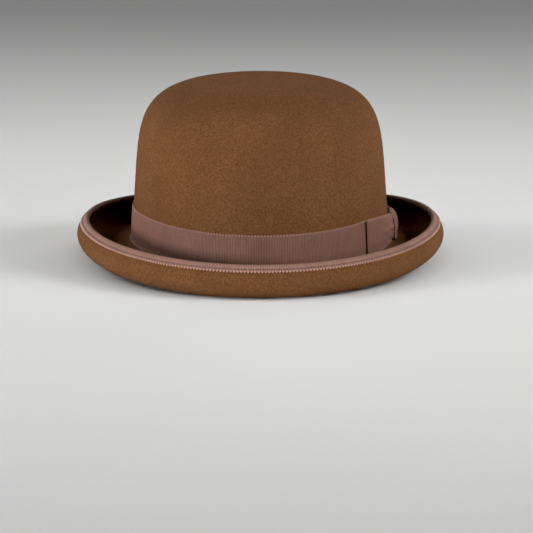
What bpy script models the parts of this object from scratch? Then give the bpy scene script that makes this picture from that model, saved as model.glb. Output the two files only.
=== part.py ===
"""A bowler hat: a stiff fur-felt body whose brim is curled up and bound with ribbon, a ribbon band tied
in a flat bow on the wearer's left, and inside it a leather sweatband on a reeded edge and a satin lining.

Lengths are in millimetres, and become metres as each mesh is made. The hat stands on the underside of
its brim at z = 0, centred on the Z axis. Its front faces -Y, and the wearer's left is +X.

Most pieces are sections carried round the hat. A section is drawn in two coordinates: out, the distance
outside the oval where the crown meets the brim, and up, the height above the ground.
"""

import math

import bmesh
import bpy
from mathutils import Vector

MM = 0.001
COLUMNS = 48  # facets round the hat

# The felt body
HALF_WIDTH = 86.4  # of the crown's foot, outside the felt
HALF_LENGTH = 106.0
CROWN_TOP = 120.7
BREAK_UP = 11.7  # height of the brim's upper face where it leaves the crown, at the sides
BREAK_DIP = 4.8  # how much lower that is at the front and back
FELT = 2.3
CROWN_TAPER = 7.0  # how far the crown's wall leans in over its full height
SHOULDER_POWER = 7.4  # higher is a squarer shoulder
TIP_POWER = 3.0  # higher is a flatter tip
FILLET = 4.0

# The brim, as (at the front and back, at the sides)
BRIM_SLOPE_DEG = (8.3, 7.0)
BRIM_FLAT = (34.0, 22.0)
CURL_RADIUS = (8.9, 8.1)
CURL_END_DEG = (130.0, 138.0)
EDGE_STRAIGHT = 3.2

# Ribbons
RIBBON = 0.5
BINDING = 0.4
BINDING_CLEAR = 0.25
BINDING_BACK = (4.7, 3.9)  # how far the binding reaches back from the brim's edge, inside and outside
BINDING_STITCH_BACK = 2.3
BAND_LOW = 2.0  # above the break
BAND_HIGH = 23.6
CLEAR = 0.3

# Where the ends of each ring meet. Each is on a column, so that the ends fit the facets beside them.
BAND_JOIN_DEG = 7.5
BINDING_JOIN_DEG = 142.5
LINING_JOIN_DEG = 120.0
BACK = math.radians(90)

# Pieces inside the crown, as depths below its outer face
LINING_DEPTH = (2.65, 3.15)
BACKING_DEPTH = (3.4, 3.72)
LEATHER_DEPTH = (4.0, 5.0)
INNER_THREAD_DEPTH = (5.25, 5.5)
LEATHER_LOW = 1.5  # above the break
LEATHER_HIGH = 50.0
REED_DEPTH = 4.1
REED_DROP = 0.3  # of the reed's centre, below the break
REED_RADIUS = 0.9
TAPE = 0.3
TAPE_HIGH = 7.5
LINING_LOW = 8.6


def mixed(front_and_side, phi):
    """A measure that changes smoothly from the front and back of the hat to its sides."""
    front, side = front_and_side
    return side * math.cos(phi) ** 2 + front * math.sin(phi) ** 2


def break_up(phi):
    return BREAK_UP - BREAK_DIP * math.sin(phi) ** 2


def place(phi, out, up):
    """The point of a section's (out, up) at this angle round the hat."""
    across, along = math.cos(phi), math.sin(phi)
    outward = Vector((across / HALF_WIDTH, along / HALF_LENGTH, 0)).normalized()
    return Vector((HALF_WIDTH * across, HALF_LENGTH * along, up)) + outward * out


# ---------------------------------------------------------------- the crown's shape
# The rows of the crown, from its tip down, are spaced by an angle: 90 degrees is the tip, 0 the foot.
TIP_ROWS_DEG = (84, 76, 66, 55, 44, 33)
LINING_SEAM_DEG = 23
SHOULDER_ROWS_DEG = (14, 7)
WALL_ROWS = (0.38, 0.2)  # as shares of the crown's height


def crown_point(phi, climb):
    """A point of the crown's outer face. climb goes from 0 at its foot to 1 at its tip."""
    foot = break_up(phi) + FILLET
    spread = (1 - climb**SHOULDER_POWER) ** (1 / TIP_POWER)
    inset = CROWN_TAPER * climb
    return Vector(
        (
            (HALF_WIDTH - inset) * spread * math.cos(phi),
            (HALF_LENGTH - inset) * spread * math.sin(phi),
            foot + (CROWN_TOP - foot) * climb,
        )
    )


def crown_inside(phi, climb, depth):
    """The point this far in from the crown's outer face, square to it."""
    step = 1e-4
    around = crown_point(phi + step, climb) - crown_point(phi - step, climb)
    rise = crown_point(phi, min(climb + step, 1)) - crown_point(phi, max(climb - step, 0))
    return crown_point(phi, climb) - around.cross(rise).normalized() * depth


def dome_climb(angle_deg):
    """The climb of a row of the crown, which spaces the rows evenly round its shoulder."""
    return math.sin(math.radians(angle_deg)) ** (2 / SHOULDER_POWER)


def climb_at(phi, above_break):
    return max(0.0, (above_break - FILLET) / (CROWN_TOP - break_up(phi) - FILLET))


def wall_out(phi, above_break):
    """Where the crown's outer face stands at this height. It leans in, so this is never positive."""
    climb = climb_at(phi, above_break)
    spread = (1 - climb**SHOULDER_POWER) ** (1 / TIP_POWER)
    return -CROWN_TAPER * climb - HALF_WIDTH * (1 - spread)


def outer_face(phi, above_break):
    """The same, with the fillet at the crown's foot, which stands out."""
    drop = max(0.0, FILLET - above_break)
    return wall_out(phi, above_break) + FILLET - math.sqrt(FILLET**2 - drop**2)


# ---------------------------------------------------------------- paths in a section
# A path is a list of stations (out, up, heading), drawn like a pen that runs straight and turns.


def straight(path, length, steps=1):
    out, up, heading = path[-1]
    for k in range(1, steps + 1):
        run = length * k / steps
        path.append((out + run * math.cos(heading), up + run * math.sin(heading), heading))


def turn(path, radius, heading, steps):
    """An arc to this heading. A positive radius turns left, and a negative one right."""
    out, up, start = path[-1]
    for k in range(1, steps + 1):
        now = start + (heading - start) * k / steps
        across = radius * (math.sin(now) - math.sin(start))
        path.append((out + across, up - radius * (math.cos(now) - math.cos(start)), now))


def beside(station, left):
    """The point this far to the left of a path, which is above it where the path runs outwards."""
    out, up, heading = station
    return out - left * math.sin(heading), up + left * math.cos(heading)


def strip_section(path, thickness):
    """The outline of a strip that is centred on a path."""
    half = thickness / 2
    return [beside(s, half) for s in path] + [beside(s, -half) for s in reversed(path)]


def brim_path(phi):
    """The brim's upper face, from the crown's foot to the edge."""
    slope = -math.radians(mixed(BRIM_SLOPE_DEG, phi))
    path = [(0.0, break_up(phi) + FILLET, -math.pi / 2)]
    turn(path, FILLET, slope, 3)
    straight(path, mixed(BRIM_FLAT, phi), 2)
    turn(path, mixed(CURL_RADIUS, phi), math.radians(mixed(CURL_END_DEG, phi)), 7)
    straight(path, EDGE_STRAIGHT)
    return path


def edge_station(phi, back):
    """The station of the brim's upper face that is this far back from its edge."""
    out, up, heading = brim_path(phi)[-1]
    if back <= EDGE_STRAIGHT:
        return out - back * math.cos(heading), up - back * math.sin(heading), heading
    radius = mixed(CURL_RADIUS, phi)
    path = [edge_station(phi, EDGE_STRAIGHT)]
    turn(path, radius, heading - (back - EDGE_STRAIGHT) / radius, 1)
    return path[-1]


def round_edge(phi, radius, angles_deg):
    """Points round the end of the brim, from its upper face at 90 degrees to its outer one at -90."""
    end = edge_station(phi, 0)
    centre = beside(end, -FELT / 2)
    points = []
    for angle in angles_deg:
        heading = end[2] + math.radians(angle)
        points.append((centre[0] + radius * math.cos(heading), centre[1] + radius * math.sin(heading)))
    return points


def binding_line(phi, clear):
    """The line that folds over the brim's edge, this far from the felt."""
    inside, outside = BINDING_BACK
    inner = [beside(edge_station(phi, back), clear) for back in (inside, EDGE_STRAIGHT)]
    outer = [beside(edge_station(phi, back), -FELT - clear) for back in (EDGE_STRAIGHT, outside)]
    return inner + round_edge(phi, FELT / 2 + clear, (90, 45, 0, -45, -90)) + outer


def box_section(out_range, up_range):
    (a, b), (low, high) = out_range, up_range
    return [(a, low), (b, low), (b, high), (a, high)]


# ---------------------------------------------------------------- building meshes


def new_object(name, bm, material):
    bmesh.ops.recalc_face_normals(bm, faces=bm.faces)
    mesh = bpy.data.meshes.new(name)
    bm.to_mesh(mesh)
    bm.free()
    mesh.shade_smooth()
    mesh.set_sharp_from_angle(angle=math.radians(40))
    mesh.materials.append(material)
    obj = bpy.data.objects.new(name, mesh)
    bpy.context.scene.collection.objects.link(obj)
    return obj


def bridge(bm, first, second, closed):
    """Faces between two rows of vertices. A row of one vertex is a pole."""
    count = max(len(first), len(second))
    for k in range(count if closed else count - 1):
        after = (k + 1) % count
        ring = [first[k % len(first)], first[after % len(first)]]
        ring += [second[after % len(second)], second[k % len(second)]]
        bm.faces.new(list(dict.fromkeys(ring)))


def loft(name, sections, material, ring):
    """A solid through closed sections. A ring joins its last section to its first; a strip has ends."""
    bm = bmesh.new()
    rows = [[bm.verts.new(Vector(p) * MM) for p in section] for section in sections]
    for first, second in zip(rows, rows[1:]):
        bridge(bm, first, second, True)
    if ring:
        bridge(bm, rows[-1], rows[0], True)
    else:
        bm.faces.new(rows[0])
        bm.faces.new(rows[-1])
    return new_object(name, bm, material)


def columns():
    return [2 * math.pi * k / COLUMNS for k in range(COLUMNS)]


def columns_between(first, last):
    """The angles of a strip: its two ends, and every column between them."""
    step = 2 * math.pi / COLUMNS
    inner = [k * step for k in range(-COLUMNS, 2 * COLUMNS) if first + 1e-6 < k * step < last - 1e-6]
    return [first] + inner + [last]


def round_the_hat(name, section, material):
    """A closed ring of the section (out, up) that section(phi) gives."""
    return loft(name, [[place(phi, *p) for p in section(phi)] for phi in columns()], material, True)


def strip_round_the_hat(name, section, material, first, last):
    angles = columns_between(first, last)
    return loft(name, [[place(phi, *p) for p in section(phi)] for phi in angles], material, False)


def split_ring(name, section, material, join, gap=0.4):
    """A strip that goes once round the hat, with its two ends this gap apart at an angle."""
    half = gap / 2 / HALF_WIDTH
    return strip_round_the_hat(name, section, material, join + half, join + 2 * math.pi - half)


def shell(name, rows, material):
    """A closed skin through rows round the hat. It starts and ends on a pole."""
    bm = bmesh.new()
    made = [[bm.verts.new(p * MM) for p in row] for row in rows]
    for first, second in zip(made, made[1:]):
        bridge(bm, first, second, True)
    return new_object(name, bm, material)


def row(point):
    return [point(phi) for phi in columns()]


def dome_rows(climbs, depth):
    """Rows from the crown's tip down to the last of these climbs."""
    rows = [[Vector((0, 0, CROWN_TOP - depth))]]
    for climb in climbs:
        rows.append(row(lambda phi, climb=climb: crown_inside(phi, climb, depth)))
    return rows


def cap(name, climbs, depths, material):
    """A domed sheet that follows the crown's tip between two depths."""
    outer, inner = depths
    return shell(name, dome_rows(climbs, outer) + dome_rows(climbs, inner)[::-1], material)


# ---------------------------------------------------------------- materials


def linear(channel):
    """An 8-bit sRGB channel as the linear value that a shader takes."""
    share = channel / 255
    return share / 12.92 if share <= 0.04045 else ((share + 0.055) / 1.055) ** 2.4


def material(name, colour, roughness, alpha=1.0):
    made = bpy.data.materials.new(name)
    made.use_nodes = True
    shader = made.node_tree.nodes["Principled BSDF"]
    shader.inputs["Base Color"].default_value = (*[linear(c) for c in colour], 1)
    shader.inputs["Roughness"].default_value = roughness
    shader.inputs["Metallic"].default_value = 0
    shader.inputs["Alpha"].default_value = alpha
    return made


# ---------------------------------------------------------------- the felt body and its trim


def felt_body(felt):
    """Crown and brim in one piece of felt. Its underside is pressed flat where the hat stands."""
    angles = TIP_ROWS_DEG + (LINING_SEAM_DEG,) + SHOULDER_ROWS_DEG
    climbs = [dome_climb(angle) for angle in angles] + list(WALL_ROWS)
    stations = len(brim_path(0))
    rows = dome_rows(climbs, 0)
    for k in range(stations):
        rows.append(row(lambda phi, k=k: place(phi, *beside(brim_path(phi)[k], 0))))
    for k in range(2):
        rows.append(row(lambda phi, k=k: place(phi, *round_edge(phi, FELT / 2, (45, -45))[k])))

    def underside(phi, k):
        out, up = beside(brim_path(phi)[k], -FELT)
        return place(phi, out, max(up, 0.0))

    for k in reversed(range(stations)):
        rows.append(row(lambda phi, k=k: underside(phi, k)))
    return shell("felt_body", rows + dome_rows(climbs, FELT)[::-1], felt)


def brim_binding(ribbon, thread):
    def folded(phi):
        near = binding_line(phi, BINDING_CLEAR)
        far = binding_line(phi, BINDING_CLEAR + BINDING)
        return near + far[::-1]

    split_ring("brim_binding", folded, ribbon, math.radians(BINDING_JOIN_DEG))

    def stitch_row(name, sign, base):
        """A line of thread that lies on one face of the binding."""
        face = BINDING_CLEAR + BINDING + CLEAR
        half_width, height = 0.25, 0.28

        def section(phi):
            near, far = (edge_station(phi, BINDING_STITCH_BACK + s * half_width) for s in (-1, 1))
            low, high = base + sign * face, base + sign * (face + height)
            return [beside(near, low), beside(far, low), beside(far, high), beside(near, high)]

        round_the_hat(name, section, thread)

    stitch_row("binding_needle_thread", -1, -FELT)
    stitch_row("binding_bobbin_thread", 1, 0)


def band_section(phi, low, high, inner, outer):
    """The outline of a strip on the crown's wall. Its faces are this far outside the felt."""
    base = break_up(phi)
    heights = [low, FILLET + 0.6, high]
    near = [(outer_face(phi, h) + inner, base + h) for h in heights]
    far = [(outer_face(phi, h) + outer, base + h) for h in heights]
    return near + far[::-1]


def hat_band(ribbon, thread):
    """The band, whose ends meet under the bow, and the thread that draws them together."""

    def section(phi):
        return band_section(phi, BAND_LOW, BAND_HIGH, CLEAR, CLEAR + RIBBON)

    split_ring("hat_band", section, ribbon, math.radians(BAND_JOIN_DEG), gap=0.8)
    lay = band_surface(math.radians(BAND_JOIN_DEG))
    rise_range = (-9.0, 9.0)
    off_range = (0.12, 0.3)
    zigzag("hat_band_join_thread", lay, rise_range, off_range, thread, half_width=1.2, count=7)


def band_surface(middle):
    """Turns (along, off, rise) on the band's outer face into a point. rise is from its mid-height."""
    mid_height = (BAND_LOW + BAND_HIGH) / 2

    def lay(along, off, rise):
        phi = middle + along / HALF_LENGTH
        height = mid_height + rise
        out = outer_face(phi, height) + CLEAR + RIBBON + off
        return place(phi, out, break_up(phi) + height)

    return lay


def inner_surface(middle_height, depth):
    """The same inside the hat, at its back, on a face this deep below the crown's outer one."""

    def lay(along, off, rise):
        phi = BACK + along / HALF_WIDTH
        height = middle_height + rise
        out = wall_out(phi, height) - depth - off
        return place(phi, out, break_up(phi) + height)

    return lay


def zigzag(name, lay, rise_range, off_range, thread, half_width, count):
    """A thread that zigzags up a join between two edges. It crosses the join this many times."""
    low, high = rise_range
    near, far = off_range
    thick = 0.25
    corners = ((near, -thick), (far, -thick), (far, thick), (near, thick))
    sections = []
    for k in range(count + 1):
        rise = low + (high - low) * k / count
        along = half_width * (1 if k % 2 else -1)
        sections.append([lay(along + aside, off, rise) for off, aside in corners])
    loft(name, sections, thread, False)


# ---------------------------------------------------------------- bows


LOWER_FULLNESS, UPPER_FULLNESS = 0.55, 1.4  # exponents of a knot's arch: less is fuller
GATHER_POWER = 1.35  # how the gathers of a bow fade out: 1 is evenly, more is sooner


class Bow:
    """A flat bow: one ribbon folded into a loop each side, gathered by a knot that is wrapped round it.

    along runs along the ribbon from the bow's middle, rise across it, and off is how far it stands out.
    """

    def __init__(self, reach, half_height, pinch, drop, crest, gather, knot):
        self.reach = reach  # from the middle to the end of a loop
        self.half_height = half_height  # of the ribbon where it lies flat
        self.pinch = pinch  # half-height of the ribbon in the knot
        self.drop = drop  # how far the ribbon sags there
        self.crest = crest  # how far its upper layer stands out there, at mid-height
        self.gather_from, self.gather_to = gather
        self.knot_half_width, self.knot_half_height, self.bulge, self.knot_drop, self.tuck = knot

    def flatness(self, along):
        """0 where the knot holds the ribbon, and 1 where the ribbon lies flat."""
        held = (self.gather_to - abs(along)) / (self.gather_to - self.gather_from)
        return 1 - min(max(held, 0), 1) ** GATHER_POWER

    def loop_path(self, thickness, share):
        """(along, off) of the ribbon's middle line, round both loops and back under them.

        share is the place across the ribbon, from -1 to 1. Its edges lie flat, and its middle is crushed
        outwards."""
        flat_under, flat_over = CLEAR + thickness / 2, 2 * CLEAR + 1.5 * thickness
        ridge = 1 - abs(share) ** 1.4
        held_under = flat_over + 0.3 * ridge
        edge_over = held_under + CLEAR + thickness
        held_over = edge_over + (self.crest - edge_over) * ridge
        fold = (flat_over - flat_under) / 2
        steps = 9
        over, under = [], []
        for k in range(-steps, steps + 1):
            along = (self.reach - fold) * math.copysign(abs(k / steps) ** 1.4, k)
            flat = self.flatness(along)
            over.append((along, held_over + (flat_over - held_over) * flat))
            under.append((along, held_under + (flat_under - held_under) * flat))
        middle = (flat_under + flat_over) / 2
        return over + [(self.reach, middle)] + under[::-1] + [(-self.reach, middle)]

    def knot_path(self, thickness):
        """(off, rise) of the knot's middle line: flat behind the loops, and arched over them.

        Its lower half is the fuller one, and its lower end is drawn back up behind the loops."""
        back = CLEAR + thickness / 2
        reach = self.bulge - thickness / 2 - back
        steps = 10
        arch = []
        for k in range(steps + 1):
            angle = math.pi * k / steps - math.pi / 2
            share = max(0.0, math.cos(angle)) ** (LOWER_FULLNESS if angle < 0 else UPPER_FULLNESS)
            tuck = self.tuck * (1 - share) ** 2 if angle < 0 else 0.0
            rise = self.knot_half_height * math.sin(angle) - self.knot_drop + tuck
            arch.append((back + reach * share, rise))
        return arch

    def build(self, prefix, lay, thickness, ribbon):
        shares = [-1, -0.5, 0, 0.5, 1]
        paths = [self.loop_path(thickness, share) for share in shares]
        rows = [belt_offsets(path, thickness) for path in paths]
        sections = []
        for k, (along, _) in enumerate(paths[0]):
            flat = self.flatness(along)
            half = self.pinch + (self.half_height - self.pinch) * flat
            rises = [share * half - self.drop * (1 - flat) for share in shares]
            inside = [lay(*row[k][0], rise) for row, rise in zip(rows, rises)]
            outside = [lay(*row[k][1], rise) for row, rise in zip(rows, rises)]
            sections.append(inside[::-1] + outside)
        loft(prefix + "_loops", sections, ribbon, True)
        half = self.knot_half_width
        sections = []
        for inner, outer in belt_offsets(self.knot_path(thickness), thickness):
            sections.append([lay(-half, *inner), lay(-half, *outer), lay(half, *outer), lay(half, *inner)])
        loft(prefix + "_knot", sections, ribbon, True)


def belt_offsets(path, thickness):
    """For each point of a closed path, the pair of points half a thickness to each side of it."""
    pairs = []
    for k, (x, y) in enumerate(path):
        before, after = path[k - 1], path[(k + 1) % len(path)]
        first = Vector((x - before[0], y - before[1])).normalized()
        second = Vector((after[0] - x, after[1] - y)).normalized()
        tangent = (first + second).normalized()
        reach = thickness / 2 / max(0.5, first.dot(tangent))
        side = Vector((-tangent.y, tangent.x)) * reach
        pairs.append(((x + side.x, y + side.y), (x - side.x, y - side.y)))
    return pairs


SIDE_BOW_MIDDLE_DEG = -2.2
SIDE_BOW = Bow(
    reach=65.6,
    half_height=10.8,
    pinch=8.0,
    drop=2.6,
    crest=4.5,
    gather=(7.0, 62.0),
    knot=(7.0, 10.0, 5.8, 2.5, 1.6),
)
REAR_BOW = Bow(
    reach=13.0, half_height=2.6, pinch=1.6, drop=0.0, crest=2.2, gather=(1.8, 8.0), knot=(1.8, 2.6, 3.2, 0.0, 0.0)
)
REAR_BOW_HEIGHT = 11.0  # of its middle, above the break


# ---------------------------------------------------------------- inside the crown


def inner_section(phi, low, high, depths, steps=1):
    """The outline of a strip that lies along the crown's wall, between two depths below its face."""
    base = break_up(phi)
    heights = [low + (high - low) * k / steps for k in range(steps + 1)]
    near = [(wall_out(phi, h) - depths[0], base + h) for h in heights]
    far = [(wall_out(phi, h) - depths[1], base + h) for h in heights]
    return near + far[::-1]


def sweatband(leather, cloth, thread):
    def section(phi):
        return inner_section(phi, LEATHER_LOW, LEATHER_HIGH, LEATHER_DEPTH, steps=3)

    def tape(phi):
        return inner_section(phi, LINING_LOW, LEATHER_HIGH - 3, BACKING_DEPTH, steps=2)

    split_ring("sweatband", section, leather, BACK)
    tape_reach = math.radians(6)
    strip_round_the_hat("sweatband_seam_tape", tape, cloth, BACK - tape_reach, BACK + tape_reach)
    height = (LEATHER_LOW + LEATHER_HIGH) / 2
    rise = height - LEATHER_LOW - 1.5
    lay = inner_surface(height, 0)
    zigzag("sweatband_seam_thread", lay, (-rise, rise), INNER_THREAD_DEPTH, thread, half_width=1.6, count=18)


def reed(plastic, cloth, thread):
    """The plastic cord in the sweatband's lower edge, the tape folded round it, and their stitching."""
    fold_radius = REED_RADIUS + 0.25 + TAPE / 2

    def reed_centre(phi):
        return -REED_DEPTH, break_up(phi) - REED_DROP

    def cord(phi):
        out, up = reed_centre(phi)
        angles = [math.radians(60 * k) for k in range(6)]
        return [(out + REED_RADIUS * math.cos(a), up + REED_RADIUS * math.sin(a)) for a in angles]

    def tape(phi):
        out, up = reed_centre(phi)
        top = break_up(phi) + TAPE_HIGH
        path = [(out + fold_radius, top, -math.pi / 2)]
        straight(path, top - up)
        turn(path, -fold_radius, -2 * math.pi, 5)
        straight(path, 0.35)
        turn(path, 0.4, -1.5 * math.pi, 1)
        straight(path, top - path[-1][1])
        return strip_section(path, TAPE)

    split_ring("reed_cord", cord, plastic, BACK, gap=7.0)
    split_ring("reed_tape", tape, cloth, BACK, gap=3.0)

    def leather_stitch(phi):
        return inner_section(phi, LEATHER_LOW + 0.8, LEATHER_LOW + 3.2, INNER_THREAD_DEPTH)

    split_ring("reed_zigzag_thread", leather_stitch, thread, BACK, gap=5.0)

    def felt_stitch(phi):
        up = break_up(phi) + 0.6
        return box_section((-2.5, -2.1), (up - 0.2, up + 0.2))

    round_the_hat("sweatband_sewing_thread", felt_stitch, thread)


def lining(satin, thread, clear_plastic):
    """The side and the tip of the lining, their seam, and the clear shield sewn over the tip."""
    outer, inner = LINING_DEPTH

    def side(phi):
        climbs = [climb_at(phi, LINING_LOW)] + list(WALL_ROWS[::-1])
        climbs += [dome_climb(angle) for angle in SHOULDER_ROWS_DEG[::-1] + (LINING_SEAM_DEG - 0.6,)]
        line = [crown_inside(phi, climb, outer) for climb in climbs]
        return line + [crown_inside(phi, climb, inner) for climb in reversed(climbs)]

    join = math.radians(LINING_JOIN_DEG)
    half = 0.4 / 2 / HALF_WIDTH
    angles = columns_between(join + half, join + 2 * math.pi - half)
    loft("lining_side", [side(phi) for phi in angles], satin, False)

    tip_climbs = [dome_climb(angle) for angle in TIP_ROWS_DEG + (LINING_SEAM_DEG + 0.6,)]
    cap("lining_tip", tip_climbs, LINING_DEPTH, satin)

    def thread_ring(name, angle_deg, half_width_deg, depths):
        low, high = (dome_climb(angle_deg + side * half_width_deg) for side in (-1, 1))
        corners = ((low, depths[0]), (high, depths[0]), (high, depths[1]), (low, depths[1]))
        sections = [[crown_inside(phi, *corner) for corner in corners] for phi in columns()]
        loft(name, sections, thread, True)

    thread_ring("lining_seam_thread", LINING_SEAM_DEG, 0.3, (3.35, 3.6))
    shield_climbs = [dome_climb(angle) for angle in (84, 76)]
    cap("tip_shield", shield_climbs, (3.45, 3.75), clear_plastic)
    thread_ring("tip_shield_thread", 77.5, 0.5, (3.95, 4.2))


def size_ticket(paper):
    """A blank ticket tucked behind the sweatband, beside its seam."""

    def section(phi):
        return inner_section(phi, 18.0, 30.0, BACKING_DEPTH)

    strip_round_the_hat("size_ticket", section, paper, math.radians(102), math.radians(114))


def build():
    for obj in list(bpy.data.objects):
        bpy.data.objects.remove(obj)
    felt = material("brown_felt", (122, 84, 55), 0.95)
    ribbon = material("mauve_ribbon", (130, 98, 87), 0.75)
    ribbon_thread = material("ribbon_thread", (98, 70, 62), 0.8)
    pale_thread = material("pale_thread", (205, 190, 165), 0.8)
    leather = material("tan_leather", (150, 98, 58), 0.5)
    cloth = material("reed_cloth", (70, 52, 40), 0.85)
    satin = material("cream_satin", (226, 214, 190), 0.35)
    reed_plastic = material("reed_plastic", (225, 222, 210), 0.4)
    clear_plastic = material("clear_plastic", (235, 235, 230), 0.15, alpha=0.35)
    paper = material("ticket_paper", (232, 226, 208), 0.9)

    felt_body(felt)
    brim_binding(ribbon, ribbon_thread)
    hat_band(ribbon, ribbon_thread)
    SIDE_BOW.build("bow", band_surface(math.radians(SIDE_BOW_MIDDLE_DEG)), RIBBON, ribbon)
    sweatband(leather, cloth, pale_thread)
    reed(reed_plastic, cloth, pale_thread)
    REAR_BOW.build("rear_bow", inner_surface(REAR_BOW_HEIGHT, INNER_THREAD_DEPTH[1]), 0.3, cloth)
    lining(satin, pale_thread, clear_plastic)
    size_ticket(paper)


build()
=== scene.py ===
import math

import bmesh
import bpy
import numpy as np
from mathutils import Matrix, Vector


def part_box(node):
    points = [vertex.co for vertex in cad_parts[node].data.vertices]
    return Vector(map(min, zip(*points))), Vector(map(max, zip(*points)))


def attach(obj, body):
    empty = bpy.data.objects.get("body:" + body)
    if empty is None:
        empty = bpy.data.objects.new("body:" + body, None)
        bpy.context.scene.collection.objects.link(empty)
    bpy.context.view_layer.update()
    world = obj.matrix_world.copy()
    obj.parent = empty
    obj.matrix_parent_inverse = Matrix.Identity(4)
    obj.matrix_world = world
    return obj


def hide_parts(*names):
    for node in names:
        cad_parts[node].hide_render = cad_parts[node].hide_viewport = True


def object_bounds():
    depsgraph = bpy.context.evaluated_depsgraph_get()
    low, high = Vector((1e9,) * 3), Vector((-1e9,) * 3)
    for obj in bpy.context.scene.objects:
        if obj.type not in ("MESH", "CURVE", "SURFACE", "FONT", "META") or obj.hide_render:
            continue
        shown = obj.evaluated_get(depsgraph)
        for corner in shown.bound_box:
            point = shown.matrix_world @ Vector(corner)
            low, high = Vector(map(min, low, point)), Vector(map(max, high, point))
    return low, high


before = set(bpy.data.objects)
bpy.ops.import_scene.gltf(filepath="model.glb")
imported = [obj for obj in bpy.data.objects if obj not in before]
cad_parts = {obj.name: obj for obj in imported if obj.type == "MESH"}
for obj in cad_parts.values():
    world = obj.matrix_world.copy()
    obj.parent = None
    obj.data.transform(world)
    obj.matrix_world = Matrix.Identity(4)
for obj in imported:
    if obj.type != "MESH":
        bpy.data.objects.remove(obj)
cad_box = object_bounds()

# The looks of a bowler hat: a fine mesh and a procedural material for each piece of the CAD model.
#
# Lengths are in millimetres, and become metres as each mesh is made. The front of the hat faces -Y, and
# the wearer's left is +X. Angles round the hat, phi, start at +X and pass the rear, +Y, at 90 degrees.
# Most pieces are drawn in a section that is carried round the hat. Its two coordinates are out, the
# distance outside the oval where the crown meets the brim, and up, the height above the ground.
# Ribbons have two coordinates along their own length and width, and off, the distance off their face.

MM = 0.001


def high_corner(node):
    return np.array(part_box(node)[1]) / MM


FELT_HIGH = high_corner("felt_body")

# The felt body
HALF_WIDTH = 86.4  # of the crown's foot, outside the felt
HALF_LENGTH = 106.0
CROWN_TOP = FELT_HIGH[2]
BREAK_UP = 11.7  # height of the brim's upper face where it leaves the crown, at the sides
BREAK_DIP = 4.8  # how much lower that is at the front and back
FELT = 2.3
CROWN_TAPER = 7.0
SHOULDER_POWER = 7.4
TIP_POWER = 3.0
FILLET = 4.0  # between the crown and the brim
FELT_COLUMNS = 416

# The brim, as (at the front and back, at the sides)
BRIM_REACH = (FELT_HIGH[1] - HALF_LENGTH, FELT_HIGH[0] - HALF_WIDTH)
BRIM_SLOPE = tuple(math.radians(a) for a in (8.3, 7.0))
CURL_RADIUS = (8.9, 8.1)
CURL_END = tuple(math.radians(a) for a in (130.0, 138.0))
EDGE_STRAIGHT = 3.2

# Ribbons
RIBBON = 0.5  # thickness
CLEAR = 0.3  # between layers
RIB_PITCH = 1.05
RIB_HEIGHT = 0.26
RIB_COLUMNS = 3  # mesh columns to a rib
PICOT = 0.85  # how far the loops of weft stand out past a ribbon's edge, every second rib
BINDING = 0.4  # thickness of the binding's ribbon
BINDING_CLEAR = 0.25
BINDING_BACK = (4.7, 3.5)  # how far it reaches back from the brim's edge, inside and outside
BINDING_STITCH_BACK = 2.3
BINDING_STITCH_PITCH = 4.2
BAND_HIGH = high_corner("hat_band")[2] - BREAK_UP
BAND_LOW = 2.0
BAND_MIDDLE = (BAND_LOW + BAND_HIGH) / 2
BINDING_JOIN = math.radians(142.5)
BAND_JOIN = math.radians(7.5)
BAND_JOIN_GAP = 0.8
BAND_DRAW = 6.4  # how far the band's upper edge is drawn down under the knot
BOW_MIDDLE = math.radians(-2.2)
BOW_GATHER = (7.0, 62.0)  # the bow's ribbon is drawn in this near its middle, and lies flat this far from it
GATHER_POWER = 1.35
SETTLE = 6.0  # how far from its knot a bow's layers come to lie close on each other
RIDGE_POWER = 1.1
KNOT_POWER = (0.55, 0.85)  # in its lower and upper half, and fuller where it is lower

# Threads
THREAD_PLY = 3
THREAD_TWIST = 2.2  # in radians to a millimetre
THREAD_CORNERS = 9
THREAD_CLEAR = 0.25

REAR = math.radians(90)
FLOOR_RADIUS = 3.0  # in metres

# Pieces inside the crown, as depths below its outer face, and heights above the break
LINING_DEPTH = (2.65, 3.15)
SHIELD_DEPTH = (3.45, 3.75)
TICKET_DEPTH = (3.4, 3.72)
LEATHER_DEPTH = (4.0, 5.0)
LEATHER_LOW = 1.5
LEATHER_HIGH = 50.0
REED_DEPTH = 4.1
REED_DROP = 0.3
REED_RADIUS = 0.9
TAPE = 0.3
TAPE_HIGH = 7.5
LINING_LOW = 8.6
PUCKER = 0.9

# Rows round the crown's shoulder, as climb_of takes them
LINING_SEAM = math.radians(23)
LINING_SEAM_GAP = math.radians(0.6)
SHIELD_EDGE = math.radians(76)
SHIELD_SEAM = math.radians(77.5)


def mixed(front_and_side, phi):
    """A measure that changes smoothly from the front and back of the hat to its sides."""
    front, side = front_and_side
    return side * np.cos(phi) ** 2 + front * np.sin(phi) ** 2


def flat_length(reach, slope, radius):
    """The straight part of the brim's section that makes its outside come out at this reach."""
    turned = FILLET * (1 - math.sin(slope)) + radius * math.sin(slope) + radius + FELT
    return (reach - turned) / math.cos(slope)


BRIM_FLAT = tuple(flat_length(*measures) for measures in zip(BRIM_REACH, BRIM_SLOPE, CURL_RADIUS))


def eased(share):
    share = np.clip(share, 0, 1)
    return share * share * (3 - 2 * share)


def gathered(distance, near, far):
    """How far a ribbon is drawn in at this distance from a knot: 1 within near, and 0 beyond far."""
    return np.clip((far - distance) / (far - near), 0, 1) ** GATHER_POWER


def wander(phi, seed, waves):
    """A smooth uneven curve round the hat, between about -1 and 1, as handwork leaves it."""
    random = np.random.default_rng(seed)
    total = 0
    for wave in waves:
        total = total + np.sin(wave * phi + random.uniform(0, 2 * math.pi)) / len(waves) ** 0.5
    return total


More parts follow.
